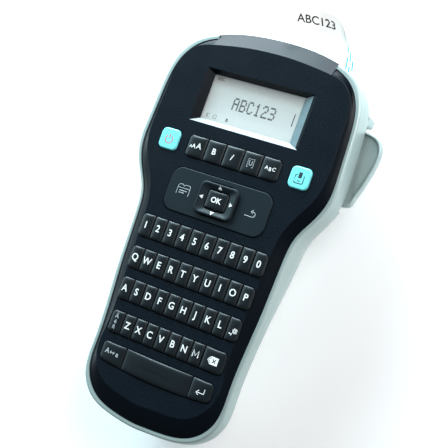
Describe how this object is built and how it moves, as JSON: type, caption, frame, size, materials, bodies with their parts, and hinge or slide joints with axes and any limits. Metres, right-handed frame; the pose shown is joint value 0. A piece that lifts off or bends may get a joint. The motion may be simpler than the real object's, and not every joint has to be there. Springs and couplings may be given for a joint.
{
  "type": "label maker",
  "caption": "Hand-held electronic label maker with a keypad face, a recessed display, a side cutter lever and a printed label strip leaving its top end.",
  "frame": {"origin": "centre of the flat back band between the cassette door and the battery cover", "axes": "+Y towards the display end, +Z out of the keypad face, +X to the right as the keys are read"},
  "size_m": [0.1253, 0.2303, 0.052],
  "materials": {
    "dark_cover": "fine satin moulded grain",
    "silver_case": "smooth pale silver moulding",
    "dark_key": "satin pillow top",
    "cyan_key": "smooth bright cyan",
    "clear_window": "clear and flat",
    "display_glass": "grey-green display glass",
    "inner_frame": "plain moulded",
    "rubber_mat": "soft silicone",
    "board_green": "lacquered laminate",
    "steel": "plain steel",
    "spring_steel": "bright plated wire",
    "heat_sink_metal": "extruded aluminium",
    "gear_plastic": "white acetal",
    "platen_rubber": "ground rubber",
    "cassette_grey": "light moulded grain",
    "spool_plastic": "plain moulded",
    "label_white": "coated polyester tape",
    "cell_label": "printed sleeve",
    "jack_black": "moulded black"
  },
  "bodies": {
    "body": {"front_cover": "dark_cover", "rear_case": "silver_case", "door_hinge_pin": "steel", "display_window": "clear_window", "lcd_panel": "display_glass", "lcd_frame": "inner_frame", "keypad_mat": "rubber_mat", "main_circuit_board": "board_green", "lever_pivot_pin": "steel", "lever_spring": "spring_steel", "cutter_anvil": "inner_frame", "print_head": "jack_black", "head_heat_sink": "heat_sink_metal", "chassis_plate": "inner_frame", "cassette_shell": "cassette_grey", "cassette_lid": "cassette_grey", "label_tape": "label_white", "battery_tray": "inner_frame", "battery_cells": "cell_label", "battery_springs": "spring_steel", "battery_contacts": "spring_steel", "power_jack": "jack_black", "case_screws": "steel", "drive_motor": "steel"},
    "door": {"cassette_door": "silver_case"},
    "battery_lid": {"battery_cover": "silver_case"},
    "lever": {"cutter_lever": "silver_case"},
    "cutter": {"blade_carriage": "inner_frame", "cutter_blade": "steel"},
    "platen": {"platen_shaft": "steel", "platen_roller": "platen_rubber", "platen_gear": "gear_plastic"},
    "idler": {"idler_gear": "gear_plastic"},
    "motor_shaft": {"motor_pinion": "gear_plastic"},
    "take_up": {"take_up_spindle": "gear_plastic", "ribbon_take_up_spool": "spool_plastic"},
    "ribbon_supply": {"ribbon_supply_spool": "spool_plastic"},
    "tape_supply": {"tape_spool": "spool_plastic"},
    "nav_plate": {"nav_panel": "dark_key"},
    "nav_gimbal": {"nav_pivot": "inner_frame"},
    "nav_pad": {"nav_ring": "dark_key"},
    "power_button": {"power_key": "cyan_key"},
    "print_button": {"print_key": "cyan_key"},
    "text_size_button": {"text_size_key": "dark_key"},
    "bold_button": {"bold_key": "dark_key"},
    "italic_button": {"italic_key": "dark_key"},
    "box_style_button": {"box_style_key": "dark_key"},
    "text_style_button": {"text_style_key": "dark_key"},
    "number_row": {"number_keys": "dark_key"},
    "top_letter_row": {"top_letter_keys": "dark_key"},
    "home_letter_row": {"home_letter_keys": "dark_key"},
    "accent_button": {"accent_key": "dark_key"},
    "bottom_letter_row": {"bottom_letter_keys": "dark_key"},
    "backspace_button": {"backspace_key": "dark_key"},
    "caps_button": {"caps_key": "dark_key"},
    "space_button": {"space_key": "dark_key"},
    "enter_button": {"enter_key": "dark_key"},
    "ok_button": {"ok_key": "dark_key"}
  },
  "joints": [
    {"name": "power_button_press", "type": "slide", "parent": "body", "child": "power_button", "axis": [0, 0, -1], "range_m": [0, 0.001], "stiffness_N_per_m": 250, "springref_m": -0.001},
    {"name": "print_button_press", "type": "slide", "parent": "body", "child": "print_button", "axis": [0, 0, -1], "range_m": [0, 0.001], "stiffness_N_per_m": 250, "springref_m": -0.001},
    {"name": "text_size_button_press", "type": "slide", "parent": "body", "child": "text_size_button", "axis": [0, 0, -1], "range_m": [0, 0.001], "stiffness_N_per_m": 250, "springref_m": -0.001},
    {"name": "bold_button_press", "type": "slide", "parent": "body", "child": "bold_button", "axis": [0, 0, -1], "range_m": [0, 0.001], "stiffness_N_per_m": 250, "springref_m": -0.001},
    {"name": "italic_button_press", "type": "slide", "parent": "body", "child": "italic_button", "axis": [0, 0, -1], "range_m": [0, 0.001], "stiffness_N_per_m": 250, "springref_m": -0.001},
    {"name": "box_style_button_press", "type": "slide", "parent": "body", "child": "box_style_button", "axis": [0, 0, -1], "range_m": [0, 0.001], "stiffness_N_per_m": 250, "springref_m": -0.001},
    {"name": "text_style_button_press", "type": "slide", "parent": "body", "child": "text_style_button", "axis": [0, 0, -1], "range_m": [0, 0.001], "stiffness_N_per_m": 250, "springref_m": -0.001},
    {"name": "number_row_press", "type": "slide", "parent": "body", "child": "number_row", "axis": [0, 0, -1], "range_m": [0, 0.001], "stiffness_N_per_m": 600, "springref_m": -0.001},
    {"name": "top_letter_row_press", "type": "slide", "parent": "body", "child": "top_letter_row", "axis": [0, 0, -1], "range_m": [0, 0.001], "stiffness_N_per_m": 600, "springref_m": -0.001},
    {"name": "home_letter_row_press", "type": "slide", "parent": "body", "child": "home_letter_row", "axis": [0, 0, -1], "range_m": [0, 0.001], "stiffness_N_per_m": 600, "springref_m": -0.001},
    {"name": "accent_button_press", "type": "slide", "parent": "body", "child": "accent_button", "axis": [0, 0, -1], "range_m": [0, 0.001], "stiffness_N_per_m": 250, "springref_m": -0.001},
    {"name": "bottom_letter_row_press", "type": "slide", "parent": "body", "child": "bottom_letter_row", "axis": [0, 0, -1], "range_m": [0, 0.001], "stiffness_N_per_m": 600, "springref_m": -0.001},
    {"name": "backspace_button_press", "type": "slide", "parent": "body", "child": "backspace_button", "axis": [0, 0, -1], "range_m": [0, 0.001], "stiffness_N_per_m": 250, "springref_m": -0.001},
    {"name": "caps_button_press", "type": "slide", "parent": "body", "child": "caps_button", "axis": [0, 0, -1], "range_m": [0, 0.001], "stiffness_N_per_m": 250, "springref_m": -0.001},
    {"name": "space_button_press", "type": "slide", "parent": "body", "child": "space_button", "axis": [0, 0, -1], "range_m": [0, 0.001], "stiffness_N_per_m": 250, "springref_m": -0.001},
    {"name": "enter_button_press", "type": "slide", "parent": "body", "child": "enter_button", "axis": [0, 0, -1], "range_m": [0, 0.001], "stiffness_N_per_m": 250, "springref_m": -0.001},
    {"name": "ok_button_press", "type": "slide", "parent": "body", "child": "ok_button", "axis": [0, 0, -1], "range_m": [0, 0.001], "stiffness_N_per_m": 250, "springref_m": -0.001},
    {"name": "nav_plate_rock", "type": "hinge", "parent": "body", "child": "nav_plate", "pos_m": [0, 0.017, 0.046], "axis": [0, 1, 0], "range_deg": [-2, 2], "stiffness_Nm_per_rad": 0.6},
    {"name": "nav_left_right", "type": "hinge", "parent": "body", "child": "nav_gimbal", "pos_m": [0, 0.017, 0.0435], "axis": [0, 1, 0], "range_deg": [-2.5, 2.5], "stiffness_Nm_per_rad": 0.6},
    {"name": "nav_up_down", "type": "hinge", "parent": "nav_gimbal", "child": "nav_pad", "pos_m": [0, 0.017, 0.0448], "axis": [1, 0, 0], "range_deg": [-2.5, 2.5], "stiffness_Nm_per_rad": 0.6},
    {"name": "cutter_lever_swing", "type": "hinge", "parent": "body", "child": "lever", "pos_m": [0.0465, 0.038, 0.026], "axis": [0, 0, 1], "range_deg": [0, 8], "stiffness_Nm_per_rad": 0.4, "springref_deg": -11.46},
    {"name": "blade_travel", "type": "slide", "parent": "body", "child": "cutter", "axis": [-1, 0, 0], "range_m": [0, 0.004]},
    {"name": "cassette_door_hinge", "type": "hinge", "parent": "body", "child": "door", "pos_m": [0, 0.014, 0.0024], "axis": [-1, 0, 0], "range_deg": [0, 100]},
    {"name": "battery_cover_slide", "type": "slide", "parent": "body", "child": "battery_lid", "axis": [0, -1, 0], "range_m": [0, 0.095]},
    {"name": "platen_spin", "type": "hinge", "parent": "body", "child": "platen", "pos_m": [0.02415, 0.079, 0.014], "axis": [0, 0, 1], "continuous": true},
    {"name": "idler_spin", "type": "hinge", "parent": "body", "child": "idler", "pos_m": [0.00455, 0.08299, 0.027], "axis": [0, 0, 1], "continuous": true},
    {"name": "motor_spin", "type": "hinge", "parent": "body", "child": "motor_shaft", "pos_m": [-0.01225, 0.08299, 0.028], "axis": [0, 0, 1], "continuous": true},
    {"name": "take_up_spin", "type": "hinge", "parent": "body", "child": "take_up", "pos_m": [0.01194, 0.06269, 0.016], "axis": [0, 0, 1], "continuous": true},
    {"name": "ribbon_supply_spin", "type": "hinge", "parent": "body", "child": "ribbon_supply", "pos_m": [-0.012, 0.064, 0.014], "axis": [0, 0, 1], "continuous": true},
    {"name": "tape_supply_spin", "type": "hinge", "parent": "body", "child": "tape_supply", "pos_m": [-0.016, 0.039, 0.014], "axis": [0, 0, 1], "continuous": true}
  ],
  "couplings": [
    {"joint": "blade_travel", "follows": "cutter_lever_swing", "m_per_rad": 0.028647},
    {"joint": "idler_spin", "follows": "platen_spin", "ratio": -0.66667},
    {"joint": "motor_spin", "follows": "platen_spin", "ratio": 1.6667},
    {"joint": "take_up_spin", "follows": "platen_spin", "ratio": 0.83333},
    {"joint": "ribbon_supply_spin", "follows": "platen_spin", "ratio": 0.55},
    {"joint": "tape_supply_spin", "follows": "platen_spin", "ratio": 0.21}
  ]
}
